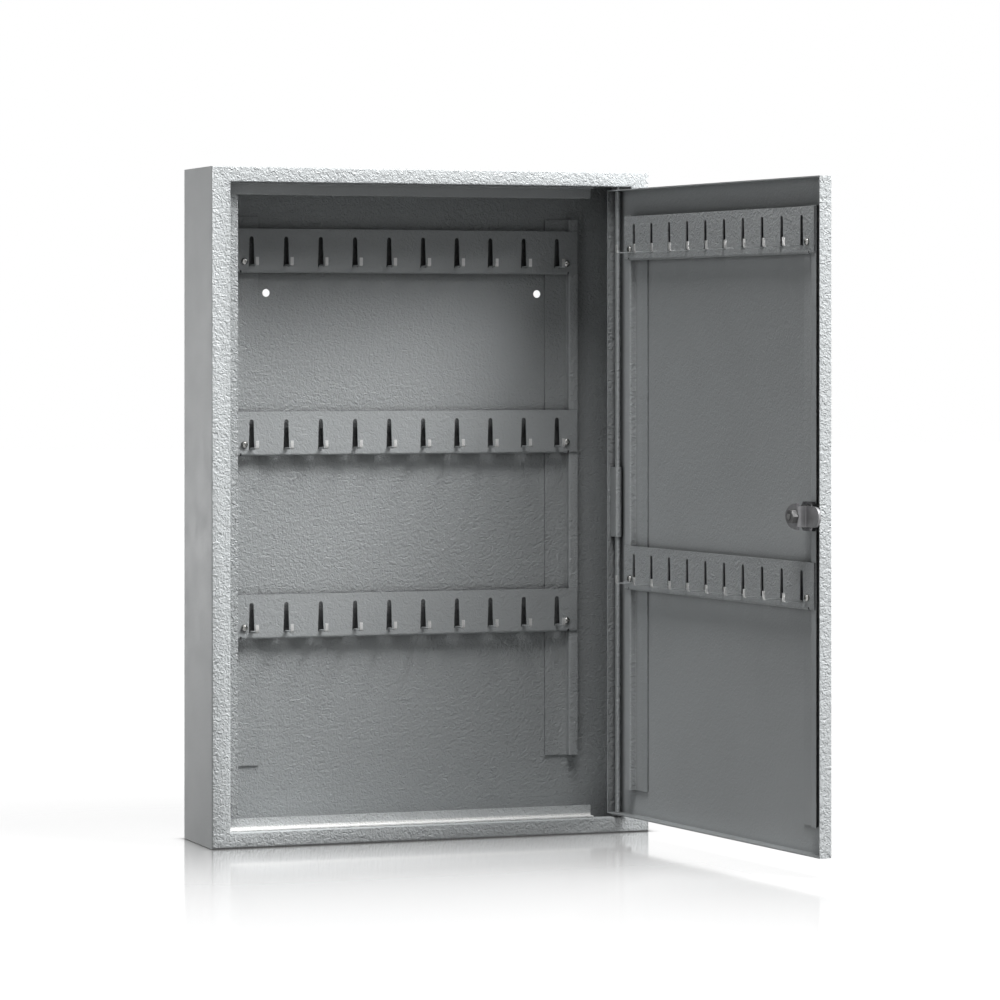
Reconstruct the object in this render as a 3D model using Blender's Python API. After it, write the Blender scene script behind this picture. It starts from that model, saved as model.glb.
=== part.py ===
"""Wall key cabinet of folded sheet steel, with its hinged door standing open.

The case's front faces -Y, +Z is up, and the origin is the centre of the case's underside.
Everything on the door is modelled in the door's own frame, whose origin is the hinge axis:
x runs from the hinge to the free edge, -y points away from the inner face, and z is up.
Seen from the front of their own panel, the case and the door thus read the same way.
"""
import math

import bmesh
import bpy
from mathutils import Vector

MM = 0.001

# Case
CASE_WIDTH = 380 * MM
CASE_HEIGHT = 550 * MM
CASE_DEPTH = 80 * MM
SHEET = 1.0 * MM
INNER_BEND = 0.5 * MM
FRAME_SIDE = 16 * MM
FRAME_TOP_BOTTOM = 12.5 * MM
FRAME_RETURN = 9 * MM
WALL_HOLE_RADIUS = 3.25 * MM
WALL_HOLE_SPACING = 240 * MM
WALL_HOLE_BELOW_TOP = 101 * MM

# Air left between two pieces that touch, and how far a cutter runs past a face
SEAT_GAP = 0.3 * MM
OVERRUN = 2 * MM

# Door stops: folded angles behind the opening's free, top and bottom edges
STOP_BEHIND_DOOR = 1.5 * MM
STOP_WIDTH = 9.7 * MM
STOP_LEG = 8.5 * MM
STOP_SHORT_OF_HINGE = 31.5 * MM

# Door
DOOR_CLEARANCE = 2.5 * MM
DOOR_DEPTH = 11 * MM
DOOR_OPEN_ANGLE = math.radians(96.2)

# Hinge: a rod along the door's edge, with thinner ends that turn in the case's frame
HINGE_FROM_EDGE = 7.5 * MM
HINGE_FROM_FACE = 5.2 * MM
HINGE_ROD_RADIUS = 2.25 * MM
HINGE_PIN_RADIUS = 1.5 * MM
HINGE_PIN_PAST_FRAME = 1.0 * MM
HINGE_CLIP_LENGTH = 58 * MM

# Key bars: the same bar hangs in the case and on the door
HOOKS_PER_BAR = 10
SLOT_FROM_CASE_SIDE = 55 * MM
BAR_HEIGHT = 36.5 * MM
BAR_LIP = 4 * MM
BAR_LIP_ROOT = 0.05 * MM
BAR_BEFORE_FIRST_SLOT = 16.5 * MM
BAR_AFTER_LAST_SLOT = 18.5 * MM
BAR_NOTCH_WIDTH = 1.4 * MM
BAR_NOTCH_HEIGHT = 2.2 * MM
SLOT_BELOW_TOP = 6.3 * MM
SLOT_TOP_WIDTH = 3.6 * MM
SLOT_BOTTOM_WIDTH = 5.0 * MM
HOOK_ROOT_BELOW_TOP = 30.2 * MM
HOOK_RELIEF_DEPTH = 1.2 * MM
HOOK_RELIEF_WIDTH = 0.8 * MM
HOOK_WIDTH = 2.6 * MM
HOOK_REACH = 16.5 * MM
HOOK_RISE = 6.5 * MM

# Where the bars hang
CASE_BARS = 3
CASE_BAR_PITCH = 151.25 * MM
CASE_BAR_BELOW_RAIL_TOP = 10 * MM
DOOR_BAR_BELOW_RAIL_TOP = 0.7 * MM
DOOR_LOWER_BAR_BELOW_LOCK = 35.4 * MM
DOOR_FIRST_SLOT_FROM_HINGE = 35.5 * MM

# Rails: Z sections that carry the bars clear of the panel behind them
RAIL_HEIGHT = 6.6 * MM
RAIL_CROWN = 8 * MM
RAIL_FOOT = 19.5 * MM
RAIL_BEYOND_SLOT = 11.4 * MM
DOOR_RAIL_BEFORE_FIRST_SLOT = 9 * MM
CASE_RAIL_ABOVE_OPENING_BASE = 45.5 * MM
CASE_RAIL_BELOW_OPENING_TOP = 25.5 * MM
DOOR_RAIL_FROM_END = 22 * MM

# Bar screws: M3 with a domed head and a cross recess
SCREW_BEFORE_FIRST_SLOT = 6.4 * MM
SCREW_AFTER_LAST_SLOT = 8.8 * MM
SCREW_BELOW_BAR_TOP = 27.2 * MM
SCREW_RADIUS = 1.5 * MM
SCREW_HEAD_RADIUS = 2.8 * MM
SCREW_HEAD_HEIGHT = 1.9 * MM
SCREW_RIM = 0.6 * MM
RECESS_LENGTH = 3.2 * MM
RECESS_WIDTH = 0.8 * MM
RECESS_DEPTH = 1.0 * MM

# Cam lock
LOCK_FROM_FREE_EDGE = 18 * MM
LOCK_COLLAR_RADIUS = 12 * MM
LOCK_COLLAR_HEIGHT = 2.2 * MM
LOCK_COLLAR_CHAMFER = 0.7 * MM
LOCK_BARREL_RADIUS = 9.3 * MM
LOCK_NUT_FLATS = 22.4 * MM
LOCK_NUT_HEIGHT = 4 * MM
LOCK_NUT_CHAMFER = 0.9 * MM
PLUG_RADIUS = 6 * MM
PLUG_RECESS = 0.2 * MM
PLUG_END_WALL = 1.5 * MM
TAIL_RADIUS = 3.4 * MM
TAIL_SQUARE = 4.8 * MM
TAIL_THREAD_RADIUS = 2.2 * MM
TAIL_PAST_NUT = 0.8 * MM
KEYWAY_WIDTH = 1.3 * MM
KEYWAY_HEIGHT = 7.5 * MM
KEYWAY_DEPTH = 6 * MM
CAM_SHEET = 2 * MM
CAM_INNER_BEND = 0.6 * MM
CAM_HUB_WIDTH = 20.4 * MM
CAM_ARM_WIDTH = 16 * MM
CAM_NOSE = 14.3 * MM
CAM_REACH = 24.6 * MM
CAM_STEP_FROM_AXIS = 5.9 * MM
CAM_STEP_HEIGHT = 6.65 * MM
CAM_NUT_FLATS = 10 * MM
CAM_NUT_HEIGHT = 4.5 * MM
CAM_NUT_CHAMFER = 0.5 * MM

# Facets of curved stretches
BEND_STEPS = 3
ROUND_STEPS = 24
FINE_ROUND_STEPS = 36
SLOT_ROUND_STEPS = 4
DOME_STEPS = 3
SHARP_ANGLE = math.radians(35)

# Places worked out from the sizes above
FRONT_Y = -CASE_DEPTH / 2
REAR_Y = CASE_DEPTH / 2
SIDE_X = CASE_WIDTH / 2
OPENING_X = SIDE_X - FRAME_SIDE
OPENING_BASE_Z = FRAME_TOP_BOTTOM
OPENING_TOP_Z = CASE_HEIGHT - FRAME_TOP_BOTTOM
OUTER_BEND = SHEET + INNER_BEND
BACK_PANEL_FRONT_Y = REAR_Y - SHEET
STOP_FACE_Y = FRONT_Y + DOOR_DEPTH + STOP_BEHIND_DOOR

DOOR_WIDTH = 2 * (OPENING_X - DOOR_CLEARANCE)
DOOR_BASE_Z = OPENING_BASE_Z + DOOR_CLEARANCE
DOOR_TOP_Z = OPENING_TOP_Z - DOOR_CLEARANCE
HINGE_X = OPENING_X - DOOR_CLEARANCE - HINGE_FROM_EDGE
HINGE_Y = FRONT_Y + HINGE_FROM_FACE
DOOR_FREE_X = DOOR_WIDTH - HINGE_FROM_EDGE
DOOR_HINGE_EDGE_X = -HINGE_FROM_EDGE
DOOR_FACE_Y = HINGE_FROM_FACE
DOOR_INNER_Y = DOOR_FACE_Y - SHEET
DOOR_RIM_Y = DOOR_FACE_Y - DOOR_DEPTH
PIN_HOLE_RADIUS = HINGE_PIN_RADIUS + SEAT_GAP

HOOK_PITCH = (CASE_WIDTH - 2 * SLOT_FROM_CASE_SIDE) / (HOOKS_PER_BAR - 1)
HOOK_SPAN = HOOK_PITCH * (HOOKS_PER_BAR - 1)
BAR_DEPTH_OFF_PANEL = SEAT_GAP + RAIL_HEIGHT + SEAT_GAP + SHEET
SCREW_HOLE_RADIUS = SCREW_RADIUS + SEAT_GAP
SCREW_XS = (-SCREW_BEFORE_FIRST_SLOT, HOOK_SPAN + SCREW_AFTER_LAST_SLOT)
CASE_RAIL_BASE_Z = OPENING_BASE_Z + CASE_RAIL_ABOVE_OPENING_BASE
CASE_RAIL_TOP_Z = OPENING_TOP_Z - CASE_RAIL_BELOW_OPENING_TOP
DOOR_RAIL_BASE_Z = DOOR_BASE_Z + DOOR_RAIL_FROM_END
DOOR_RAIL_TOP_Z = DOOR_TOP_Z - DOOR_RAIL_FROM_END
CASE_BAR_TOPS = [CASE_RAIL_TOP_Z - CASE_BAR_BELOW_RAIL_TOP - row * CASE_BAR_PITCH for row in range(CASE_BARS)]
LOCK_Z = (DOOR_BASE_Z + DOOR_TOP_Z) / 2
DOOR_BAR_TOPS = [DOOR_RAIL_TOP_Z - DOOR_BAR_BELOW_RAIL_TOP, LOCK_Z - DOOR_LOWER_BAR_BELOW_LOCK]

LOCK_X = DOOR_FREE_X - LOCK_FROM_FREE_EDGE
LOCK_HOLE_RADIUS = LOCK_BARREL_RADIUS + SEAT_GAP
# The cam's tongue runs just behind the door stop once the door is shut
TONGUE_OUTER_Y = -(STOP_FACE_Y + SHEET + SEAT_GAP - HINGE_Y)
BARREL_END_Y = TONGUE_OUTER_Y + SEAT_GAP
HUB_OUTER_Y = TONGUE_OUTER_Y - CAM_STEP_HEIGHT
HUB_INNER_Y = HUB_OUTER_Y - CAM_SHEET

# Colours, as linear values
PAINT = (0.586, 0.61, 0.619)
ZINC = (0.62, 0.62, 0.60)
DARK_STEEL = (0.20, 0.20, 0.21)
BRIGHT_STEEL = (0.70, 0.70, 0.70)


def clear_scene():
    for old in list(bpy.data.objects):
        bpy.data.objects.remove(old, do_unlink=True)


def finish_material(name, colour, roughness, metallic):
    material = bpy.data.materials.new(name)
    material.use_nodes = True
    shader = material.node_tree.nodes["Principled BSDF"]
    shader.inputs["Base Color"].default_value = (*colour, 1)
    shader.inputs["Roughness"].default_value = roughness
    shader.inputs["Metallic"].default_value = metallic
    return material


def painted(name):
    return finish_material(name, PAINT, 0.5, 0)


def plated(name):
    return finish_material(name, ZINC, 0.35, 1)


def mesh_of_rings(name, rings, closed):
    """A mesh between rings of equal length, joined end to end or closed by a face at each end."""
    shape = bmesh.new()
    loops = [[shape.verts.new(point) for point in ring] for ring in rings]
    pairs = list(zip(loops, loops[1:]))
    if closed:
        pairs.append((loops[-1], loops[0]))
    else:
        shape.faces.new(loops[0])
        shape.faces.new(loops[-1])
    for first, second in pairs:
        count = len(first)
        for corner in range(count):
            after = (corner + 1) % count
            shape.faces.new((first[corner], first[after], second[after], second[corner]))
    bmesh.ops.recalc_face_normals(shape, faces=shape.faces)
    mesh = bpy.data.meshes.new(name)
    shape.to_mesh(mesh)
    shape.free()
    mesh.shade_smooth()
    mesh.set_sharp_from_angle(angle=SHARP_ANGLE)
    return mesh


def add_object(name, mesh, material=None, parent=None):
    item = bpy.data.objects.new(name, mesh)
    bpy.context.scene.collection.objects.link(item)
    item.parent = parent
    if material:
        mesh.materials.clear()
        mesh.materials.append(material)
    return item


def prism(name, outline, axis, start, end):
    """A straight mesh of a closed outline, given in the other two axes in X, Y, Z order."""
    def place(point, along):
        values = list(point)
        values.insert("XYZ".index(axis), along)
        return values
    return mesh_of_rings(name, [[place(p, start) for p in outline], [place(p, end) for p in outline]], False)


def box(name, low, high):
    outline = [(low[0], low[1]), (high[0], low[1]), (high[0], high[1]), (low[0], high[1])]
    return prism(name, outline, "Z", low[2], high[2])


def circle(radius, steps, centre=(0, 0)):
    angles = [2 * math.pi * step / steps for step in range(steps)]
    return [(centre[0] + radius * math.cos(angle), centre[1] + radius * math.sin(angle)) for angle in angles]


def polygon_reach(angle, half_flats, sides):
    """Distance from the centre to a regular polygon's edge, with a flat facing a zero angle."""
    sector = 2 * math.pi / sides
    return half_flats / math.cos((angle + sector / 2) % sector - sector / 2)


def turned_ring(y, reach, steps, centre):
    """A ring about an axis along Y. Reach is a radius, or a function of the angle."""
    ring = []
    for step in range(steps):
        angle = 2 * math.pi * step / steps
        radius = reach(angle) if callable(reach) else reach
        ring.append((centre[0] + radius * math.sin(angle), y, centre[1] + radius * math.cos(angle)))
    return ring


def turned(name, profile, steps, centre, closed):
    """A mesh turned about an axis along Y, from (y, reach) pairs."""
    return mesh_of_rings(name, [turned_ring(y, reach, steps, centre) for y, reach in profile], closed)


def folded_outline(path, thickness, bend):
    """The outline of a folded strip whose middle line follows a path, with round bends."""
    points = [Vector(point) for point in path]
    middle = []
    for index, point in enumerate(points):
        before = (point - points[index - 1]).normalized() if index else None
        after = (points[index + 1] - point).normalized() if index + 1 < len(points) else None
        if before is None or after is None:
            along = after or before
            middle.append((point, Vector((-along.y, along.x))))
            continue
        turn = math.atan2(before.x * after.y - before.y * after.x, before.dot(after))
        side = math.copysign(1, turn)
        start = point - before * bend * math.tan(abs(turn) / 2)
        left = Vector((-before.y, before.x))
        centre = start + left * side * bend
        for step in range(BEND_STEPS + 1):
            angle = turn * step / BEND_STEPS
            spoke = Vector((left.x * math.cos(angle) - left.y * math.sin(angle),
                            left.x * math.sin(angle) + left.y * math.cos(angle)))
            middle.append((centre - spoke * side * bend, spoke))
    half = thickness / 2
    return [tuple(p + n * half) for p, n in middle] + [tuple(p - n * half) for p, n in reversed(middle)]


def folded(name, path, axis, start, end, thickness=SHEET, inner_bend=INNER_BEND):
    return prism(name, folded_outline(path, thickness, inner_bend + thickness / 2), axis, start, end)


def shape_with(item, tool_meshes, operation):
    """Cuts an object with meshes, joins them to it or keeps what they share, one after another."""
    for tool_mesh in tool_meshes:
        tool = add_object(item.name + "_tool", tool_mesh, None, item.parent)
        modifier = item.modifiers.new("shape", "BOOLEAN")
        modifier.operation = operation
        modifier.solver = "EXACT"
        modifier.object = tool
        bpy.context.view_layer.update()
        evaluated = item.evaluated_get(bpy.context.evaluated_depsgraph_get())
        mesh = bpy.data.meshes.new_from_object(evaluated)
        mesh.shade_smooth()
        mesh.set_sharp_from_angle(angle=SHARP_ANGLE)
        item.modifiers.clear()
        item.data = mesh
        bpy.data.objects.remove(tool, do_unlink=True)


def joined(name, meshes):
    """One tool mesh of several bodies that stay clear of each other."""
    shape = bmesh.new()
    for mesh in meshes:
        shape.from_mesh(mesh)
    result = bpy.data.meshes.new(name)
    shape.to_mesh(result)
    shape.free()
    return result


def cylinder(name, radius, axis, start, end, centre, steps=ROUND_STEPS):
    return prism(name, circle(radius, steps, centre), axis, start, end)


def rectangle_ring(low_x, high_x, low_z, high_z, y):
    return [(low_x, y, low_z), (high_x, y, low_z), (high_x, y, high_z), (low_x, y, high_z)]


def bend_points(centre_inset, centre_y, radius, first_angle, last_angle):
    """(inset, y) points round a bend, from one angle to another."""
    points = []
    for step in range(BEND_STEPS + 1):
        angle = first_angle + (last_angle - first_angle) * step / BEND_STEPS
        points.append((centre_inset + radius * math.cos(angle), centre_y + radius * math.sin(angle)))
    return points


def make_case_shell():
    """Sides, front frame and the frame's folded-back edge: one section led round the rectangle."""
    quarter = math.pi / 2
    front_inner_y = FRONT_Y + SHEET
    outer = [(0, REAR_Y)] + bend_points(OUTER_BEND, FRONT_Y + OUTER_BEND, OUTER_BEND, 2 * quarter, 3 * quarter)
    inner = bend_points(OUTER_BEND, FRONT_Y + OUTER_BEND, INNER_BEND, 3 * quarter, 2 * quarter) + [(SHEET, REAR_Y)]
    # Round the opening the insets are counted from the opening's edge
    lip_outer = bend_points(-OUTER_BEND, FRONT_Y + OUTER_BEND, OUTER_BEND, -quarter, 0)
    lip_inner = bend_points(-OUTER_BEND, front_inner_y + INNER_BEND, INNER_BEND, 0, -quarter)
    lip = lip_outer + [(0, FRONT_Y + FRAME_RETURN), (-SHEET, FRONT_Y + FRAME_RETURN)] + lip_inner

    def ring(inset, y, from_opening):
        inset_x = inset + FRAME_SIDE if from_opening else inset
        inset_z = inset + FRAME_TOP_BOTTOM if from_opening else inset
        return rectangle_ring(-SIDE_X + inset_x, SIDE_X - inset_x, inset_z, CASE_HEIGHT - inset_z, y)

    rings = [ring(inset, y, False) for inset, y in outer]
    rings += [ring(inset, y, True) for inset, y in lip]
    rings += [ring(inset, y, False) for inset, y in inner]
    shell = add_object("case_shell", mesh_of_rings("case_shell", rings, True), painted("case_paint"))
    holes = [cylinder("pin_hole", PIN_HOLE_RADIUS, "Z", z - OVERRUN, z + OVERRUN, (HINGE_X, HINGE_Y))
             for z in (OPENING_BASE_Z, OPENING_TOP_Z)]
    shape_with(shell, holes, "DIFFERENCE")


def make_back_panel():
    inset = SHEET + SEAT_GAP
    low = (-SIDE_X + inset, BACK_PANEL_FRONT_Y, inset)
    high = (SIDE_X - inset, REAR_Y, CASE_HEIGHT - inset)
    panel = add_object("back_panel", box("back_panel", low, high), painted("back_panel_paint"))
    hole_z = CASE_HEIGHT - WALL_HOLE_BELOW_TOP
    holes = [cylinder("wall_hole", WALL_HOLE_RADIUS, "Y", BACK_PANEL_FRONT_Y - OVERRUN, REAR_Y + OVERRUN, (x, hole_z))
             for x in (-WALL_HOLE_SPACING / 2, WALL_HOLE_SPACING / 2)]
    shape_with(panel, holes, "DIFFERENCE")


def stop_path(edge, inward):
    """Middle line of a stop angle: (place across the opening, y), from its leg to its free edge."""
    leg = edge + inward * (SEAT_GAP + SHEET / 2)
    face_y = STOP_FACE_Y + SHEET / 2
    return [(leg, STOP_FACE_Y + SHEET - STOP_LEG), (leg, face_y), (edge + inward * STOP_WIDTH, face_y)]


def make_stops():
    left_edge = -OPENING_X
    between = STOP_WIDTH + SEAT_GAP
    side = folded("stop_left", stop_path(left_edge, 1), "Z", OPENING_BASE_Z + between, OPENING_TOP_Z - between)
    add_object("stop_left", side, painted("stop_left_paint"))
    start = left_edge + SEAT_GAP
    end = OPENING_X - STOP_SHORT_OF_HINGE
    for name, edge, inward in (("stop_bottom", OPENING_BASE_Z, 1), ("stop_top", OPENING_TOP_Z, -1)):
        path = [(y, z) for z, y in stop_path(edge, inward)]
        add_object(name, folded(name, path, "X", start, end), painted(name + "_paint"))


def make_rail(name, web_x, outward, panel_y, base_z, top_z, screw_x, screw_zs, parent):
    """A Z section: its foot lies on the panel inboard of the web, and its crown points outboard."""
    foot_y = panel_y - SEAT_GAP - SHEET / 2
    crown_y = panel_y - SEAT_GAP - RAIL_HEIGHT + SHEET / 2
    middle_x = web_x + outward * SHEET / 2
    path = [(web_x - outward * RAIL_FOOT, foot_y), (middle_x, foot_y), (middle_x, crown_y),
            (web_x + outward * RAIL_CROWN, crown_y)]
    rail = add_object(name, folded(name, path, "Z", base_z, top_z), painted(name + "_paint"), parent)
    holes = [cylinder("screw_hole", SCREW_HOLE_RADIUS, "Y", foot_y - OVERRUN, foot_y + OVERRUN, (screw_x, z))
             for z in screw_zs]
    shape_with(rail, [joined("screw_holes", holes)], "DIFFERENCE")
    return rail


def slot_outline(x):
    """A key slot, narrow and round at its top, with a relief notch beside the root of its hook."""
    top_radius = SLOT_TOP_WIDTH / 2
    foot = SLOT_BOTTOM_WIDTH / 2
    root = foot - HOOK_RELIEF_WIDTH
    root_z = -HOOK_ROOT_BELOW_TOP
    relief_z = root_z - HOOK_RELIEF_DEPTH
    centre_z = -SLOT_BELOW_TOP - top_radius
    angles = [math.pi * step / SLOT_ROUND_STEPS for step in range(SLOT_ROUND_STEPS + 1)]
    crown = [(x + top_radius * math.cos(angle), centre_z + top_radius * math.sin(angle)) for angle in angles]
    return crown + [(x - foot, relief_z), (x - root, relief_z), (x - root, root_z),
                    (x + root, root_z), (x + root, relief_z), (x + foot, relief_z)]


def make_bar_mesh():
    """A key bar seen from its front: x from the first slot, y into the panel, z from its top edge."""
    start = -BAR_BEFORE_FIRST_SLOT
    end = HOOK_SPAN + BAR_AFTER_LAST_SLOT
    middle_y = SHEET / 2
    lip_z = -BAR_HEIGHT + SHEET / 2
    path = [(middle_y, 0), (middle_y, lip_z), (BAR_LIP, lip_z)]
    bar = add_object("key_bar", folded("key_bar", path, "X", start, end))

    slot_xs = [HOOK_PITCH * index for index in range(HOOKS_PER_BAR)]
    cuts = [prism("slot", slot_outline(x), "Y", -OVERRUN, SHEET + OVERRUN) for x in slot_xs]
    cuts += [cylinder("screw_hole", SCREW_HOLE_RADIUS, "Y", -OVERRUN, SHEET + OVERRUN, (x, -SCREW_BELOW_BAR_TOP))
             for x in SCREW_XS]
    shape_with(bar, [joined("bar_cuts", cuts)], "DIFFERENCE")

    # Past the rails' webs the lip is cut away, and a notch frees its end from the plate
    lip_start = SEAT_GAP - min(RAIL_BEYOND_SLOT, DOOR_RAIL_BEFORE_FIRST_SLOT)
    lip_end = HOOK_SPAN + RAIL_BEYOND_SLOT - SEAT_GAP - BAR_NOTCH_WIDTH
    under_z = -BAR_HEIGHT - OVERRUN
    for low_x, high_x in ((start - OVERRUN, lip_start), (lip_end, end + OVERRUN)):
        spare_lip = box("spare_lip", (low_x, SHEET + BAR_LIP_ROOT, under_z),
                        (high_x, BAR_LIP + OVERRUN, -BAR_HEIGHT + OVERRUN))
        shape_with(bar, [spare_lip], "DIFFERENCE")
    notch_top_z = -BAR_HEIGHT + BAR_NOTCH_HEIGHT
    for low_x in (lip_start - BAR_NOTCH_WIDTH, lip_end):
        notch = box("notch", (low_x, -OVERRUN, under_z), (low_x + BAR_NOTCH_WIDTH, BAR_LIP + OVERRUN, notch_top_z))
        shape_with(bar, [notch], "DIFFERENCE")

    arm_z = -HOOK_ROOT_BELOW_TOP
    tip_y = -HOOK_REACH + SHEET / 2
    hook_path = [(middle_y, arm_z), (tip_y, arm_z), (tip_y, arm_z + HOOK_RISE)]
    hooks = [folded("hook", hook_path, "X", x - HOOK_WIDTH / 2, x + HOOK_WIDTH / 2) for x in slot_xs]
    shape_with(bar, [joined("hooks", hooks)], "UNION")
    mesh = bar.data
    bpy.data.objects.remove(bar, do_unlink=True)
    return mesh


def make_screw_mesh():
    """A screw seen from its head: y = 0 on the face under the head, the shank along +y."""
    dome_height = SCREW_HEAD_HEIGHT - SCREW_RIM
    head_y = -SEAT_GAP - SCREW_HEAD_HEIGHT
    rim_y = -SEAT_GAP - SCREW_RIM
    length = BAR_DEPTH_OFF_PANEL - SEAT_GAP
    profile = [(head_y, SCREW_HEAD_RADIUS / 3)]
    for step in range(1, DOME_STEPS + 1):
        angle = math.pi / 2 * step / DOME_STEPS
        reach = SCREW_HEAD_RADIUS / 3 + SCREW_HEAD_RADIUS * 2 / 3 * math.sin(angle)
        profile.append((rim_y - dome_height * math.cos(angle), reach))
    profile += [(-SEAT_GAP, SCREW_HEAD_RADIUS), (-SEAT_GAP, SCREW_RADIUS), (length, SCREW_RADIUS)]
    screw = add_object("screw", turned("screw", profile, ROUND_STEPS, (0, 0), False))
    long, short = RECESS_LENGTH / 2, RECESS_WIDTH / 2
    cross = [(long, short), (short, short), (short, long), (-short, long), (-short, short), (-long, short),
             (-long, -short), (-short, -short), (-short, -long), (short, -long), (short, -short), (long, -short)]
    recess = prism("recess", cross, "Y", head_y - OVERRUN, head_y + RECESS_DEPTH)
    shape_with(screw, [recess], "DIFFERENCE")
    mesh = screw.data
    bpy.data.objects.remove(screw, do_unlink=True)
    return mesh


def hang_bar(name, bar_mesh, screw_mesh, first_slot_x, panel_y, top_z, parent):
    """Places one key bar and its two screws in front of a panel."""
    front_y = panel_y - BAR_DEPTH_OFF_PANEL
    bar = add_object(name, bar_mesh.copy(), painted(name + "_paint"), parent)
    bar.location = (first_slot_x, front_y, top_z)
    for side, screw_x in zip(("left", "right"), SCREW_XS):
        screw_name = name + "_screw_" + side
        screw = add_object(screw_name, screw_mesh.copy(), plated(screw_name + "_zinc"), parent)
        screw.location = (first_slot_x + screw_x, front_y, top_z - SCREW_BELOW_BAR_TOP)


def make_case_inside(bar_mesh, screw_mesh):
    first_slot_x = -HOOK_SPAN / 2
    screw_zs = [top - SCREW_BELOW_BAR_TOP for top in CASE_BAR_TOPS]
    for name, web_x, outward, screw_x in (
            ("rail_left", first_slot_x - RAIL_BEYOND_SLOT, -1, first_slot_x + SCREW_XS[0]),
            ("rail_right", first_slot_x + HOOK_SPAN + RAIL_BEYOND_SLOT, 1, first_slot_x + SCREW_XS[1])):
        make_rail(name, web_x, outward, BACK_PANEL_FRONT_Y, CASE_RAIL_BASE_Z, CASE_RAIL_TOP_Z,
                  screw_x, screw_zs, None)
    for row, top_z in zip(("upper", "middle", "lower"), CASE_BAR_TOPS):
        hang_bar("key_bar_" + row, bar_mesh, screw_mesh, first_slot_x, BACK_PANEL_FRONT_Y, top_z, None)


def make_door_frame():
    """The empty on the hinge axis that carries every piece of the door."""
    axis = bpy.data.objects.new("door_axis", None)
    bpy.context.scene.collection.objects.link(axis)
    axis.location = (HINGE_X, HINGE_Y, 0)
    axis.rotation_euler = (0, 0, math.pi + DOOR_OPEN_ANGLE)
    return axis


def make_door_panel(door):
    """A tray: its sheet faces outwards and its rim turns towards the case."""
    quarter = math.pi / 2
    inner = bend_points(OUTER_BEND, DOOR_INNER_Y - INNER_BEND, INNER_BEND, quarter, 2 * quarter)
    outer = bend_points(OUTER_BEND, DOOR_FACE_Y - OUTER_BEND, OUTER_BEND, 2 * quarter, quarter)
    section = inner + [(SHEET, DOOR_RIM_Y), (0, DOOR_RIM_Y)] + outer
    rings = [rectangle_ring(DOOR_HINGE_EDGE_X + inset, DOOR_FREE_X - inset, DOOR_BASE_Z + inset, DOOR_TOP_Z - inset, y)
             for inset, y in section]
    panel = add_object("door_panel", mesh_of_rings("door_panel", rings, False), painted("door_paint"), door)
    pin_holes = [cylinder("pin_hole", PIN_HOLE_RADIUS, "Z", z - OVERRUN, z + OVERRUN, (0, 0))
                 for z in (DOOR_BASE_Z, DOOR_TOP_Z)]
    lock_hole = cylinder("lock_hole", LOCK_HOLE_RADIUS, "Y", DOOR_INNER_Y - OVERRUN, DOOR_FACE_Y + OVERRUN,
                         (LOCK_X, LOCK_Z), FINE_ROUND_STEPS)
    shape_with(panel, pin_holes + [lock_hole], "DIFFERENCE")


def make_hinge(door):
    rod_base = DOOR_BASE_Z + SHEET + SEAT_GAP
    rod_top = DOOR_TOP_Z - SHEET - SEAT_GAP
    pin_base = OPENING_BASE_Z - SHEET - HINGE_PIN_PAST_FRAME
    pin_top = OPENING_TOP_Z + SHEET + HINGE_PIN_PAST_FRAME
    profile = [(pin_base, HINGE_PIN_RADIUS), (rod_base, HINGE_PIN_RADIUS), (rod_base, HINGE_ROD_RADIUS),
               (rod_top, HINGE_ROD_RADIUS), (rod_top, HINGE_PIN_RADIUS), (pin_top, HINGE_PIN_RADIUS)]
    rings = [[(x, y, z) for x, y in circle(radius, ROUND_STEPS)] for z, radius in profile]
    add_object("hinge_rod", mesh_of_rings("hinge_rod", rings, False), painted("hinge_rod_paint"), door)

    # A strap bent round the rod, with both legs on the door's folded edge
    inner_radius = HINGE_ROD_RADIUS + SEAT_GAP
    middle = inner_radius + SHEET / 2
    leg_x = DOOR_HINGE_EDGE_X + SHEET + SEAT_GAP
    path = [(leg_x, middle), (middle, middle), (middle, -middle), (leg_x, -middle)]
    clip_base = LOCK_Z - HINGE_CLIP_LENGTH / 2
    clip = folded("hinge_clip", path, "Z", clip_base, clip_base + HINGE_CLIP_LENGTH, SHEET, inner_radius)
    add_object("hinge_clip", clip, painted("hinge_clip_paint"), door)


def make_door_inside(door, bar_mesh, screw_mesh):
    first_slot_x = DOOR_FIRST_SLOT_FROM_HINGE
    screw_zs = [top - SCREW_BELOW_BAR_TOP for top in DOOR_BAR_TOPS]
    rail_sizes = (DOOR_INNER_Y, DOOR_RAIL_BASE_Z, DOOR_RAIL_TOP_Z)
    make_rail("door_rail_hinge_side", first_slot_x - DOOR_RAIL_BEFORE_FIRST_SLOT, -1, *rail_sizes,
              first_slot_x + SCREW_XS[0], screw_zs, door)
    lock_rail = make_rail("door_rail_lock_side", first_slot_x + HOOK_SPAN + RAIL_BEYOND_SLOT, 1, *rail_sizes,
                          first_slot_x + SCREW_XS[1], screw_zs, door)
    lock_hole = cylinder("lock_hole", LOCK_HOLE_RADIUS, "Y", DOOR_INNER_Y - RAIL_HEIGHT - OVERRUN,
                         DOOR_INNER_Y + OVERRUN, (LOCK_X, LOCK_Z), FINE_ROUND_STEPS)
    shape_with(lock_rail, [lock_hole], "DIFFERENCE")
    for row, top_z in zip(("upper", "lower"), DOOR_BAR_TOPS):
        hang_bar("door_key_bar_" + row, bar_mesh, screw_mesh, first_slot_x, DOOR_INNER_Y, top_z, door)


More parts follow.
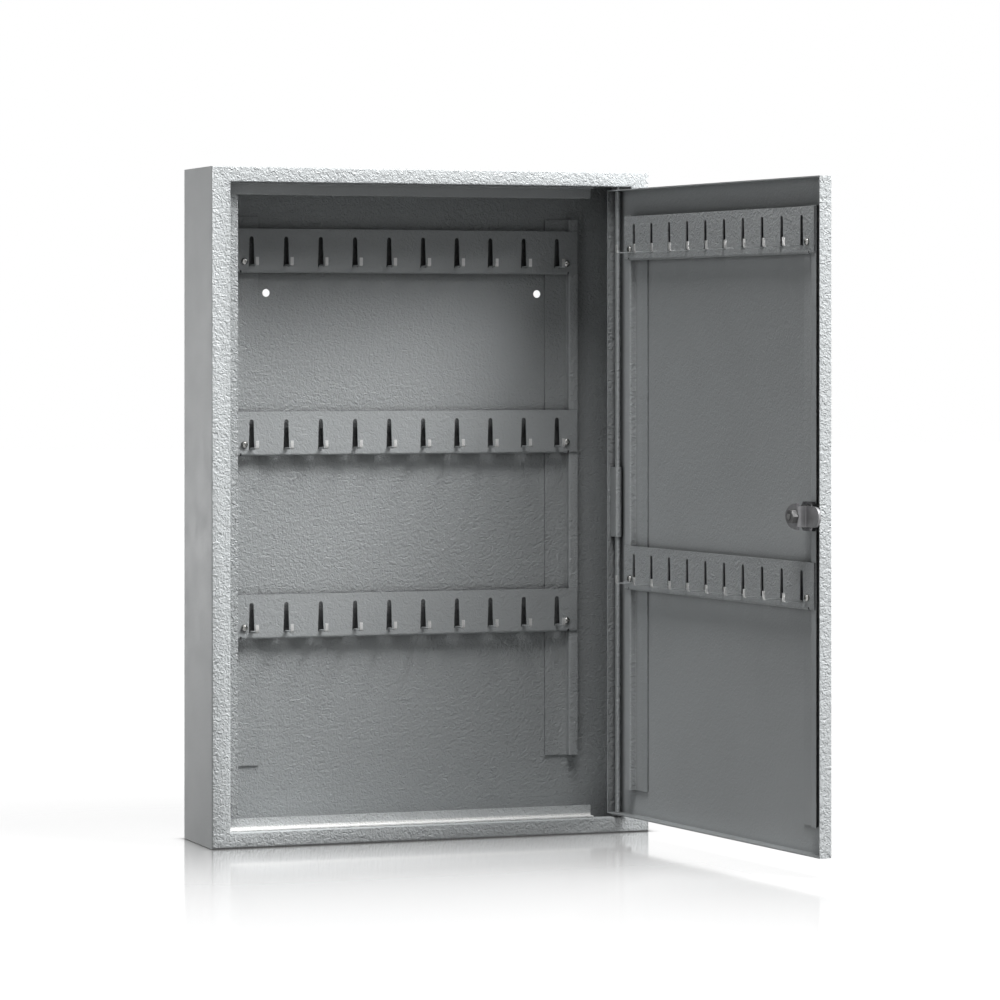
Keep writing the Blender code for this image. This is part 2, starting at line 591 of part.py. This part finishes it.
def nut_mesh(name, flats, hole_radius, seat_y, top_y, chamfer, centre):
    """A hexagon nut whose outer corners are turned off at its top face."""
    def hexagon(angle):
        return polygon_reach(angle, flats / 2, 6)

    def chamfered(angle):
        return min(hexagon(angle), flats / 2)

    side = math.copysign(1, top_y - seat_y)
    profile = [(seat_y, hexagon), (top_y - side * chamfer, hexagon), (top_y, chamfered),
               (top_y, hole_radius), (seat_y, hole_radius)]
    return turned(name, profile, ROUND_STEPS, centre, True)


def make_lock(door):
    centre = (LOCK_X, LOCK_Z)
    collar_seat_y = DOOR_FACE_Y + SEAT_GAP
    collar_front_y = collar_seat_y + LOCK_COLLAR_HEIGHT
    plug_hole = PLUG_RADIUS + SEAT_GAP
    tail_hole = TAIL_RADIUS + SEAT_GAP
    end_wall_y = BARREL_END_Y + PLUG_END_WALL
    profile = [(collar_front_y, plug_hole), (collar_front_y, LOCK_COLLAR_RADIUS - LOCK_COLLAR_CHAMFER),
               (collar_front_y - LOCK_COLLAR_CHAMFER, LOCK_COLLAR_RADIUS), (collar_seat_y, LOCK_COLLAR_RADIUS),
               (collar_seat_y, LOCK_BARREL_RADIUS), (BARREL_END_Y, LOCK_BARREL_RADIUS),
               (BARREL_END_Y, tail_hole), (end_wall_y, tail_hole), (end_wall_y, plug_hole)]
    add_object("lock_housing", turned("lock_housing", profile, FINE_ROUND_STEPS, centre, True),
               plated("lock_housing_metal"), door)

    # The nut clamps the housing over the lock-side rail's crown
    nut_seat_y = DOOR_INNER_Y - SEAT_GAP - RAIL_HEIGHT - SEAT_GAP
    nut_top_y = nut_seat_y - LOCK_NUT_HEIGHT
    nut = nut_mesh("lock_nut", LOCK_NUT_FLATS, LOCK_HOLE_RADIUS, nut_seat_y, nut_top_y, LOCK_NUT_CHAMFER, centre)
    add_object("lock_nut", nut, finish_material("lock_nut_metal", DARK_STEEL, 0.35, 1), door)
    return centre, collar_front_y, end_wall_y


def make_lock_core(door, centre, collar_front_y, end_wall_y):
    """Plug, cam and nut: what the key turns. Their shared empty sits on the lock's axis."""
    core = bpy.data.objects.new("lock_axis", None)
    bpy.context.scene.collection.objects.link(core)
    core.parent = door
    core.location = (centre[0], 0, centre[1])
    middle = (0, 0)

    def square(angle):
        return polygon_reach(angle, TAIL_SQUARE / 2, 4)

    plug_front_y = collar_front_y - PLUG_RECESS
    shoulder_y = HUB_OUTER_Y + SEAT_GAP
    nut_seat_y = HUB_INNER_Y - SEAT_GAP
    nut_top_y = nut_seat_y - CAM_NUT_HEIGHT
    profile = [(plug_front_y, PLUG_RADIUS), (end_wall_y + SEAT_GAP, PLUG_RADIUS), (end_wall_y + SEAT_GAP, TAIL_RADIUS),
               (shoulder_y, TAIL_RADIUS), (shoulder_y, square), (HUB_INNER_Y, square),
               (HUB_INNER_Y, TAIL_THREAD_RADIUS), (nut_top_y - TAIL_PAST_NUT, TAIL_THREAD_RADIUS)]
    plug = add_object("lock_plug", turned("lock_plug", profile, ROUND_STEPS, middle, False),
                      finish_material("lock_plug_metal", BRIGHT_STEEL, 0.25, 1), core)
    half_width, half_height = KEYWAY_WIDTH / 2, KEYWAY_HEIGHT / 2
    keyway = box("keyway", (-half_width, plug_front_y - KEYWAY_DEPTH, -half_height),
                 (half_width, plug_front_y + OVERRUN, half_height))
    shape_with(plug, [keyway], "DIFFERENCE")

    # Cam: a cranked strip, from a tapered nose over the plug's tail down to the tongue
    half_sheet = CAM_SHEET / 2
    hub_y = HUB_OUTER_Y - half_sheet
    tongue_y = TONGUE_OUTER_Y - half_sheet
    step_x = CAM_STEP_FROM_AXIS - half_sheet
    half_hub = CAM_HUB_WIDTH / 2
    half_arm = CAM_ARM_WIDTH / 2
    path = [(-CAM_NOSE - OVERRUN, hub_y), (step_x, hub_y), (step_x, tongue_y), (CAM_REACH + OVERRUN, tongue_y)]
    strip = folded("lock_cam", path, "Z", -half_hub - OVERRUN, half_hub + OVERRUN, CAM_SHEET, CAM_INNER_BEND)
    cam = add_object("lock_cam", strip, finish_material("lock_cam_metal", DARK_STEEL, 0.4, 1), core)
    hub_end_x = step_x - half_sheet - CAM_INNER_BEND
    nose_length = hub_end_x + CAM_NOSE
    quarter_steps = ROUND_STEPS // 4
    angles = [math.pi / 2 * step / quarter_steps for step in range(-quarter_steps, quarter_steps + 1)]
    tip = [(CAM_REACH - half_arm * (1 - math.cos(a)), half_arm * math.sin(a)) for a in angles]
    nose = [(-CAM_NOSE + nose_length * (1 - math.cos(a)), -half_hub * math.sin(a)) for a in angles]
    plan = tip + [(hub_end_x, half_arm)] + nose + [(hub_end_x, -half_arm)]
    outline = prism("cam_outline", plan, "Y", HUB_INNER_Y - OVERRUN, TONGUE_OUTER_Y + OVERRUN)
    shape_with(cam, [outline], "INTERSECT")
    half_hole = TAIL_SQUARE / 2 + SEAT_GAP
    square_hole = box("square_hole", (-half_hole, HUB_INNER_Y - OVERRUN, -half_hole),
                      (half_hole, HUB_OUTER_Y + OVERRUN, half_hole))
    shape_with(cam, [square_hole], "DIFFERENCE")

    cam_nut = nut_mesh("lock_cam_nut", CAM_NUT_FLATS, TAIL_THREAD_RADIUS + SEAT_GAP, nut_seat_y, nut_top_y,
                       CAM_NUT_CHAMFER, middle)
    add_object("lock_cam_nut", cam_nut, plated("lock_cam_nut_zinc"), core)


def main():
    clear_scene()
    make_case_shell()
    make_back_panel()
    make_stops()
    bar_mesh = make_bar_mesh()
    screw_mesh = make_screw_mesh()
    make_case_inside(bar_mesh, screw_mesh)
    door = make_door_frame()
    make_door_panel(door)
    make_hinge(door)
    make_door_inside(door, bar_mesh, screw_mesh)
    centre, collar_front_y, end_wall_y = make_lock(door)
    make_lock_core(door, centre, collar_front_y, end_wall_y)


main()
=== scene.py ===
import math

import bpy
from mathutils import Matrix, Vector


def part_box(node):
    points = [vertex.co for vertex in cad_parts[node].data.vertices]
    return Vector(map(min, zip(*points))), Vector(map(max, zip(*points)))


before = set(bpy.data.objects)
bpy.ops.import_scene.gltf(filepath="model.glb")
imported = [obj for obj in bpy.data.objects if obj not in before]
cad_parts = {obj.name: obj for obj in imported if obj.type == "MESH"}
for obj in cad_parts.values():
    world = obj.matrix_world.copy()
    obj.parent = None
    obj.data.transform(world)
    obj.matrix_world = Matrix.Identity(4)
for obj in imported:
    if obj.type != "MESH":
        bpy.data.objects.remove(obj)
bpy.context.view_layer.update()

# Camera, at the photograph's angle. Lengths are in metres.
CAMERA_PLACE = (-1.1291, -3.2342, 0.4073)
CAMERA_TURN = math.radians(19.417)
CAMERA_SENSOR = 36
CAMERA_LENS = 148.74
CAMERA_SHIFT = (0.0692, -0.1568)
CAMERA_FAR = 40

# Floor and background
FLOOR_SIZE = 24
FLOOR_DROP = 0.0003
FLOOR_WHITE = 0.9
FLOOR_BOUNCE = 0.12
FLOOR_LIFT = 0.75
SHINE_AT_CONTACT = 0.86
SHINE_UNDER_DOOR = 0.45
# Painted contact shadow: near-black mixed into the floor close around the case, its strength and reach.
CONTACT_SHADOW_STRENGTH = 0.75
CONTACT_SHADOW_REACH = 0.003
FLOOR_GLOW = 1.1
SHINE_FADE = 0.27
SHINE_ROUGHNESS = 0.09
SHADOW_REACH = 2.5
# Colour of the painted contact shadow.
CONTACT_SHADOW_TONE = (0.01, 0.01, 0.01, 1)
DOOR_HALF_THICKNESS = 0.007
WHITE = (1, 1, 1, 1)

# Lamps: azimuth from the front towards the right, elevation, distance, size, strength
LAMPS = {
    "key_high": (45, 58, 3.0, 1.4, 70),
    "high_left": (-15, 70, 3.0, 1.4, 53),
    "key": (45, 45, 3.0, 1.4, 45),
    "low_right": (45, 2, 3.0, 0.6, 14),
    "rear_left": (-140, -6, 2.2, 1.2, 10),
    "left_fill": (-60, 12, 3.0, 1.8, 5.5),
}
AIM = Vector((0, -0.1, 0.27))

# Paint. The inner tones are painted shade, darkest on the inner right wall, and the lighter tones at the hook tips and
# the ledge's top edge are painted highlights; these and the weaker peels are set to match the photograph.
PAINT = (0.586, 0.61, 0.619)
SHADED_INNER_PAINT = (0.41, 0.427, 0.433)
SHADED_INNER_WALL = (0.33, 0.344, 0.349)
PAINT_ROUGHNESS = 0.42
GLOSS_SPREAD = (-0.05, 0.06)
GLOSS_SCALE = 60
MOTTLE_SCALE = 9
MOTTLE_TONES = (0.965, 1.03)
PEEL_SCALE = 340
BACK_PEEL_SCALE = 390
PEEL_HEIGHT = 0.0014
PEEL_DETAIL = 1.5
PEEL_ROUGHNESS = 0.55
PEEL_DISTORTION = 0.9
PEEL_TURN = (0.5, 0.9)
# How far a face turns towards -X to take the painted shade of the inner right wall.
WALL_SHADE_TURN = 0.7
# Painted shade in crevices: ambient occlusion reach, darkest tone, openness below which it is darkest, and samples.
CREVICE_SHADE_REACH = 0.055
CREVICE_SHADE_TONE = 0.03
CREVICE_SHADE_SHUT = 0.05
CREVICE_SHADE_SAMPLES = 8
# Painted highlights: lighter tones for the hook tips and the ledge's top edge, and the lengths they cover.
HOOK_HIGHLIGHT_TONE = (0.78, 0.78, 0.77, 1)
LEDGE_HIGHLIGHT_TONE = (0.93, 0.93, 0.92, 1)
HOOK_HIGHLIGHT_LENGTH = 0.002
LEDGE_HIGHLIGHT_LENGTH = 0.0034
HIGHLIGHT_EDGE_SHARE = 0.6

# Metals: tone, roughness
METALS = {
    "zinc_plate": ((0.32, 0.32, 0.31), 0.14),
    "dull_nickel": ((0.2, 0.2, 0.2), 0.5),
    "dark_steel": ((0.13, 0.13, 0.135), 0.3),
    "cast_cam": ((0.2, 0.2, 0.205), 0.5),
    "worn_steel": ((0.11, 0.11, 0.11), 0.55),
}
METAL_CLOUD_SCALE = 140
METAL_CLOUD_TONES = (0.86, 1.08)
METAL_GLOSS_SCALE = 320
METAL_GLOSS_SPREAD = (-0.07, 0.1)
METAL_GRAIN_SCALE = 900
METAL_GRAIN_HEIGHT = 0.00002
METAL_GRAIN_ROUGHNESS = 0.6

# Smooth shading
WELD_DISTANCE = 1e-6
SHARP_ANGLE = math.radians(35)

# Directions in the pose that is photographed
DOOR_TURN = math.radians(6.2)
CASE_OUTWARDS = Vector((0, -1, 0))
DOOR_OUTWARDS = Vector((-math.cos(DOOR_TURN), -math.sin(DOOR_TURN), 0))


def node(tree, kind, **values):
    """Adds a shader or geometry node. Values name its properties or its inputs."""
    made = tree.nodes.new(kind)
    for key, value in values.items():
        if key in made.inputs:
            made.inputs[key].default_value = value
        elif hasattr(made, key):
            setattr(made, key, value)
        else:
            made.inputs[key.replace("_", " ")].default_value = value
    return made


def maths(tree, operation, first, second=None, clamp=False):
    made = node(tree, "ShaderNodeMath", operation=operation, use_clamp=clamp)
    for index, value in enumerate((first, second)):
        if value is None:
            continue
        if isinstance(value, bpy.types.NodeSocket):
            tree.links.new(value, made.inputs[index])
        else:
            made.inputs[index].default_value = value
    return made.outputs[0]


def new_material(name):
    material = bpy.data.materials.new(name)
    material.use_nodes = True
    tree = material.node_tree
    tree.nodes.clear()
    output = tree.nodes.new("ShaderNodeOutputMaterial")
    return material, tree, output


def object_noise(tree, scale, detail, roughness=0.5, distortion=0.0):
    """Noise that is fixed to the piece."""
    place = node(tree, "ShaderNodeTexCoord").outputs["Object"]
    noise = node(tree, "ShaderNodeTexNoise", Scale=scale, Detail=detail, Roughness=roughness, Distortion=distortion)
    tree.links.new(place, noise.inputs["Vector"])
    return noise.outputs["Fac"]


def ramp(tree, value, low, high, from_low=0.3, from_high=0.7):
    made = node(tree, "ShaderNodeMapRange")
    made.inputs["From Min"].default_value = from_low
    made.inputs["From Max"].default_value = from_high
    made.inputs["To Min"].default_value = low
    made.inputs["To Max"].default_value = high
    tree.links.new(value, made.inputs["Value"])
    return made.outputs["Result"]


def mix_colour(tree, share, first, second):
    made = node(tree, "ShaderNodeMix", data_type="RGBA")
    for index, value in ((6, first), (7, second)):
        if isinstance(value, bpy.types.NodeSocket):
            tree.links.new(value, made.inputs[index])
        else:
            made.inputs[index].default_value = value
    tree.links.new(share, made.inputs[0])
    return made.outputs[2]


def shade(colour, factor):
    return (*(channel * factor for channel in colour), 1)


def bump(tree, height, distance):
    made = node(tree, "ShaderNodeBump", Distance=distance, Strength=1.0)
    tree.links.new(height, made.inputs["Height"])
    return made


def paint_crevice_shade(tree, colour, open_from):
    """Painted shade: darker paint where another face stands close, from ambient occlusion."""
    openness = node(tree, "ShaderNodeAmbientOcclusion", samples=CREVICE_SHADE_SAMPLES, Distance=CREVICE_SHADE_REACH)
    painted_shade = ramp(tree, openness.outputs["AO"], CREVICE_SHADE_TONE, 1.0, CREVICE_SHADE_SHUT, open_from)
    shaded = node(tree, "ShaderNodeMix", data_type="RGBA", blend_type="MULTIPLY")
    shaded.inputs[0].default_value = 1
    tree.links.new(colour, shaded.inputs[6])
    tree.links.new(painted_shade, shaded.inputs[7])
    return shaded.outputs[2]


def farthest(name, direction):
    """How far a piece reaches along a direction."""
    return max(direction.dot(vertex.co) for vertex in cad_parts[name].data.vertices)


def highlight_share(tree, name, direction, length):
    """1 on the last stretch of a piece along a direction, else 0: where a painted highlight goes."""
    along = node(tree, "ShaderNodeVectorMath", operation="DOT_PRODUCT")
    tree.links.new(node(tree, "ShaderNodeTexCoord").outputs["Object"], along.inputs[0])
    along.inputs[1].default_value = direction
    end = farthest(name, direction)
    return ramp(tree, along.outputs["Value"], 0, 1, end - length, end - length * HIGHLIGHT_EDGE_SHARE)


def paint(name, colour, peel, side_peel, open_from=0.75, highlit_end=None, bare=0,
          scale=PEEL_SCALE, highlight_tone=HOOK_HIGHLIGHT_TONE, wall_shade=None):
    """Stoved hammer paint: an orange peel, faint mottling and a varied gloss.

    Faces that look towards -X take side_peel, and those right of the middle take the darker wall colour, if it is
    given: a painted shade on the inner right wall.
    Crevices take painted shade. The given end is a piece, a direction and a length: the paint there takes a lighter
    tone, a painted highlight, and bare is how metallic it is.
    """
    material, tree, output = new_material(name)
    shader = node(tree, "ShaderNodeBsdfPrincipled")
    tree.links.new(shader.outputs[0], output.inputs["Surface"])
    mottle = ramp(tree, object_noise(tree, MOTTLE_SCALE, 4), 0, 1)
    dark_tone, light_tone = MOTTLE_TONES
    tint = mix_colour(tree, mottle, shade(colour, dark_tone), shade(colour, light_tone))
    normal = node(tree, "ShaderNodeSeparateXYZ")
    tree.links.new(node(tree, "ShaderNodeTexCoord").outputs["Normal"], normal.inputs[0])
    leftwards = maths(tree, "MULTIPLY", normal.outputs["X"], -1)
    # Painted shade: faces that look towards -X right of the middle, the inner right wall, take the darker wall colour.
    if wall_shade:
        place = node(tree, "ShaderNodeSeparateXYZ")
        tree.links.new(node(tree, "ShaderNodeTexCoord").outputs["Object"], place.inputs[0])
        right_half = maths(tree, "GREATER_THAN", place.outputs["X"], 0)
        turned = maths(tree, "GREATER_THAN", leftwards, WALL_SHADE_TURN)
        shaded_wall = maths(tree, "MULTIPLY", turned, right_half)
        tint = mix_colour(tree, shaded_wall, tint, shade(wall_shade, 1))
    # Painted shade: darker paint in crevices and recesses.
    tint = paint_crevice_shade(tree, tint, open_from)
    # Painted highlight: a lighter tone on the last stretch of the piece, partly metallic where bare is set.
    if highlit_end:
        share = highlight_share(tree, *highlit_end)
        tint = mix_colour(tree, share, tint, highlight_tone)
        tree.links.new(maths(tree, "MULTIPLY", share, bare), shader.inputs["Metallic"])
    tree.links.new(tint, shader.inputs["Base Color"])
    gloss = object_noise(tree, GLOSS_SCALE, 3)
    lowest, highest = (PAINT_ROUGHNESS + spread for spread in GLOSS_SPREAD)
    tree.links.new(ramp(tree, gloss, lowest, highest), shader.inputs["Roughness"])
    waves = object_noise(tree, scale, PEEL_DETAIL, PEEL_ROUGHNESS, PEEL_DISTORTION)
    peel_bump = bump(tree, waves, PEEL_HEIGHT * peel)
    tree.links.new(ramp(tree, leftwards, 1.0, side_peel, *PEEL_TURN), peel_bump.inputs["Strength"])
    tree.links.new(peel_bump.outputs[0], shader.inputs["Normal"])
    return material


def metal(name, colour, roughness):
    """Metal with a cloudy tone, a varied gloss and a fine grain."""
    material, tree, output = new_material(name)
    shader = node(tree, "ShaderNodeBsdfPrincipled", Metallic=1.0)
    tree.links.new(shader.outputs[0], output.inputs["Surface"])
    cloud = ramp(tree, object_noise(tree, METAL_CLOUD_SCALE, 3), 0, 1)
    dark_tone, light_tone = METAL_CLOUD_TONES
    tree.links.new(mix_colour(tree, cloud, shade(colour, dark_tone), shade(colour, light_tone)),
                   shader.inputs["Base Color"])
    gloss = object_noise(tree, METAL_GLOSS_SCALE, 3)
    lowest, highest = (roughness + spread for spread in METAL_GLOSS_SPREAD)
    tree.links.new(ramp(tree, gloss, lowest, highest), shader.inputs["Roughness"])
    grain = object_noise(tree, METAL_GRAIN_SCALE, 3, METAL_GRAIN_ROUGHNESS)
    tree.links.new(bump(tree, grain, METAL_GRAIN_HEIGHT).outputs[0], shader.inputs["Normal"])
    return material


def smoothing_group():
    """Geometry nodes that weld a CAD mesh and shade it smooth across its shallow edges."""
    group = bpy.data.node_groups.new("smooth_shallow_edges", "GeometryNodeTree")
    group.interface.new_socket("Geometry", in_out="INPUT", socket_type="NodeSocketGeometry")
    group.interface.new_socket("Geometry", in_out="OUTPUT", socket_type="NodeSocketGeometry")
    source = group.nodes.new("NodeGroupInput").outputs[0]
    for step in (
            node(group, "GeometryNodeMergeByDistance", Distance=WELD_DISTANCE),
            node(group, "GeometryNodeRemoveAttribute", Name="custom_normal"),
            node(group, "GeometryNodeSetShadeSmooth", domain="FACE"),
            node(group, "GeometryNodeSetShadeSmooth", domain="EDGE")):
        group.links.new(source, step.inputs[0])
        source = step.outputs[0]
    angle = group.nodes.new("GeometryNodeInputMeshEdgeAngle")
    sharp = node(group, "FunctionNodeCompare", data_type="FLOAT", operation="GREATER_THAN")
    group.links.new(angle.outputs[0], sharp.inputs[0])
    sharp.inputs[1].default_value = SHARP_ANGLE
    group.links.new(sharp.outputs[0], step.inputs["Selection"])
    step.inputs["Shade Smooth"].default_value = False
    group.links.new(source, group.nodes.new("NodeGroupOutput").inputs[0])
    return group


def finish_nodes():
    """Gives each CAD node its material and the smoothing."""
    smoothing = smoothing_group()
    downwards = Vector((0, 0, -1))
    # Inner pieces take the darker inner tone, a painted shade; the inner right wall takes a darker painted shade
    # still, and the ledge and the hook tips carry painted highlights.
    outer_paint = paint("outer_paint", PAINT, 1.0, 0.1, 0.42, wall_shade=SHADED_INNER_WALL)
    ledge_paint = paint("ledge_paint", PAINT, 1.0, 1.0, 0.75, ("stop_bottom", downwards, LEDGE_HIGHLIGHT_LENGTH), highlight_tone=LEDGE_HIGHLIGHT_TONE)
    stop_paint = paint("stop_paint", SHADED_INNER_PAINT, 1.3, 1.3)
    shaded_paint = paint("shaded_paint", SHADED_INNER_PAINT, 0.15, 0.15)
    back_paint = paint("back_paint", SHADED_INNER_PAINT, 0.7, 0.7, 0.7, scale=BACK_PEEL_SCALE)
    case_bar_paint = paint("case_bar_paint", SHADED_INNER_PAINT, 0.4, 0.4, 0.65,
                           ("key_bar_upper", CASE_OUTWARDS, HOOK_HIGHLIGHT_LENGTH))
    door_paint = paint("door_paint", PAINT, 1.0, 0.25)
    door_bar_paint = paint("door_bar_paint", PAINT, 0.9, 0.9, 0.75,
                           ("door_key_bar_upper", DOOR_OUTWARDS, HOOK_HIGHLIGHT_LENGTH), 0.8)
    metals = {name: metal(name, *values) for name, values in METALS.items()}
    chosen = {
        "case_shell": outer_paint, "hinge_rod": outer_paint, "hinge_clip": outer_paint,
        "stop_bottom": ledge_paint, "stop_left": stop_paint, "stop_top": shaded_paint,
        "back_panel": back_paint, "rail_left": back_paint, "rail_right": back_paint,
        "door_panel": door_paint, "door_rail_hinge_side": door_paint, "door_rail_lock_side": door_paint,
        "lock_housing": metals["dull_nickel"], "lock_plug": metals["dull_nickel"],
        "lock_nut": metals["dark_steel"], "lock_cam": metals["cast_cam"], "lock_cam_nut": metals["worn_steel"],
    }
    for name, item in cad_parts.items():
        bar_paint = door_bar_paint if name.startswith("door") else case_bar_paint
        material = chosen.get(name, metals["zinc_plate"] if "screw" in name else bar_paint)
        item.data.materials.clear()
        item.data.materials.append(material)
        modifier = item.modifiers.new("smoothing", "NODES")
        modifier.node_group = smoothing


def seen_directly(tree):
    """1 for rays from the camera, and for those that a mirror or glass passes on."""
    path = node(tree, "ShaderNodeLightPath")
    first = maths(tree, "MAXIMUM", path.outputs["Is Camera Ray"], path.outputs["Is Glossy Ray"])
    return maths(tree, "MAXIMUM", first, path.outputs["Is Transmission Ray"])


def footprint_distance(tree, place, half_size, centre, turn=0.0):
    """Distance on the floor from a rectangle that stands there."""
    mapping = node(tree, "ShaderNodeMapping", vector_type="TEXTURE")
    mapping.inputs["Location"].default_value = (*centre, 0)
    mapping.inputs["Rotation"].default_value = (0, 0, turn)
    tree.links.new(place, mapping.inputs["Vector"])
    folded = node(tree, "ShaderNodeVectorMath", operation="ABSOLUTE")
    tree.links.new(mapping.outputs[0], folded.inputs[0])
    past = node(tree, "ShaderNodeVectorMath", operation="SUBTRACT")
    tree.links.new(folded.outputs[0], past.inputs[0])
    past.inputs[1].default_value = (*half_size, 1)
    kept = node(tree, "ShaderNodeVectorMath", operation="MAXIMUM")
    tree.links.new(past.outputs[0], kept.inputs[0])
    kept.inputs[1].default_value = (0, 0, 0)
    length = node(tree, "ShaderNodeVectorMath", operation="LENGTH")
    tree.links.new(kept.outputs[0], length.inputs[0])
    return length.outputs["Value"]


def falloff(tree, distance, reach):
    """1 at no distance, falling off by e for each reach."""
    return maths(tree, "EXPONENT", maths(tree, "MULTIPLY", distance, -1 / reach))


def make_floor():
    """White floor that keeps the object's shadow and mirrors it close by, with a painted contact shadow close around
    the case.
    """
    half = FLOOR_SIZE / 2
    mesh = bpy.data.meshes.new("floor")
    corners = [(x, y, -FLOOR_DROP) for x, y in ((-half, -half), (half, -half), (half, half), (-half, half))]
    mesh.from_pydata(corners, [], [(0, 1, 2, 3)])
    floor = bpy.data.objects.new("floor", mesh)
    bpy.context.scene.collection.objects.link(floor)
    material, tree, output = new_material("floor_white")
    mesh.materials.append(material)
    place = node(tree, "ShaderNodeNewGeometry").outputs["Position"]
    low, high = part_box("case_shell")
    case_away = footprint_distance(tree, place, ((high.x - low.x) / 2, (high.y - low.y) / 2), (0, 0))
    low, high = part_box("door_panel")
    door_half = (DOOR_HALF_THICKNESS, (high.y - low.y) / 2)
    door_middle = ((low.x + high.x) / 2, (low.y + high.y) / 2)
    door_away = footprint_distance(tree, place, door_half, door_middle, DOOR_TURN)
    away = maths(tree, "MINIMUM", case_away, door_away)
    case_shine = maths(tree, "MULTIPLY", falloff(tree, case_away, SHINE_FADE), SHINE_AT_CONTACT)
    door_shine = maths(tree, "MULTIPLY", falloff(tree, door_away, SHINE_FADE), SHINE_UNDER_DOOR)
    shine = maths(tree, "MAXIMUM", case_shine, door_shine)
    camera_ray = node(tree, "ShaderNodeLightPath").outputs["Is Camera Ray"]
    shine = maths(tree, "MULTIPLY", shine, camera_ray)

    matt = node(tree, "ShaderNodeBsdfDiffuse")
    seen = seen_directly(tree)
    albedo = maths(tree, "ADD", maths(tree, "MULTIPLY", seen, FLOOR_WHITE - FLOOR_BOUNCE), FLOOR_BOUNCE)
    tree.links.new(albedo, matt.inputs["Color"])
    white = node(tree, "ShaderNodeEmission", Strength=FLOOR_GLOW)
    lifted = tree.nodes.new("ShaderNodeMixShader")
    far = maths(tree, "MULTIPLY", away, 1 / SHADOW_REACH, clamp=True)
    lift = maths(tree, "ADD", maths(tree, "MULTIPLY", far, 1 - FLOOR_LIFT), FLOOR_LIFT)
    tree.links.new(maths(tree, "MULTIPLY", lift, seen), lifted.inputs[0])
    tree.links.new(matt.outputs[0], lifted.inputs[1])
    tree.links.new(white.outputs[0], lifted.inputs[2])
    mirror = node(tree, "ShaderNodeBsdfAnisotropic", Color=WHITE, Roughness=SHINE_ROUGHNESS)
    total = tree.nodes.new("ShaderNodeMixShader")
    tree.links.new(shine, total.inputs[0])
    tree.links.new(lifted.outputs[0], total.inputs[1])
    tree.links.new(mirror.outputs[0], total.inputs[2])
    # Painted contact shadow: near-black mixed in for the camera close around the case's footprint.
    contact_shadow = maths(tree, "MULTIPLY", falloff(tree, case_away, CONTACT_SHADOW_REACH), CONTACT_SHADOW_STRENGTH)
    shadow_black = node(tree, "ShaderNodeBsdfDiffuse", Color=CONTACT_SHADOW_TONE)
    with_contact_shadow = tree.nodes.new("ShaderNodeMixShader")
    tree.links.new(maths(tree, "MULTIPLY", contact_shadow, camera_ray), with_contact_shadow.inputs[0])
    tree.links.new(total.outputs[0], with_contact_shadow.inputs[1])
    tree.links.new(shadow_black.outputs[0], with_contact_shadow.inputs[2])
    tree.links.new(with_contact_shadow.outputs[0], output.inputs["Surface"])


def make_world():
    """A background that is seen as white but lights nothing."""
    world = bpy.data.worlds.new("studio")
    bpy.context.scene.world = world
    world.use_nodes = True
    tree = world.node_tree
    tree.nodes.clear()
    output = tree.nodes.new("ShaderNodeOutputWorld")
    background = node(tree, "ShaderNodeBackground", Color=WHITE)
    tree.links.new(seen_directly(tree), background.inputs["Strength"])
    tree.links.new(background.outputs[0], output.inputs["Surface"])


def make_lamp(name, azimuth, elevation, distance, size, power):
    turn, rise = math.radians(azimuth), math.radians(elevation)
    towards = Vector((math.sin(turn) * math.cos(rise), -math.cos(turn) * math.cos(rise), math.sin(rise)))
    light = bpy.data.lights.new(name, "AREA")
    light.shape = "DISK"
    light.size = size
    light.energy = power
    lamp = bpy.data.objects.new(name, light)
    bpy.context.scene.collection.objects.link(lamp)
    lamp.location = AIM + towards * distance
    lamp.rotation_euler = towards.to_track_quat("Z", "Y").to_euler()
    return lamp


def make_camera():
    data = bpy.data.cameras.new("camera")
    camera = bpy.data.objects.new("camera", data)
    bpy.context.scene.collection.objects.link(camera)
    camera.location = CAMERA_PLACE
    camera.rotation_euler = (math.pi / 2, 0, -CAMERA_TURN)
    data.sensor_width = CAMERA_SENSOR
    data.lens = CAMERA_LENS
    data.shift_x, data.shift_y = CAMERA_SHIFT
    data.clip_end = CAMERA_FAR
    bpy.context.scene.camera = camera


bpy.context.scene.view_settings.view_transform = "Standard"
finish_nodes()
make_floor()
make_world()
for lamp_name, values in LAMPS.items():
    make_lamp(lamp_name, *values)
make_camera()
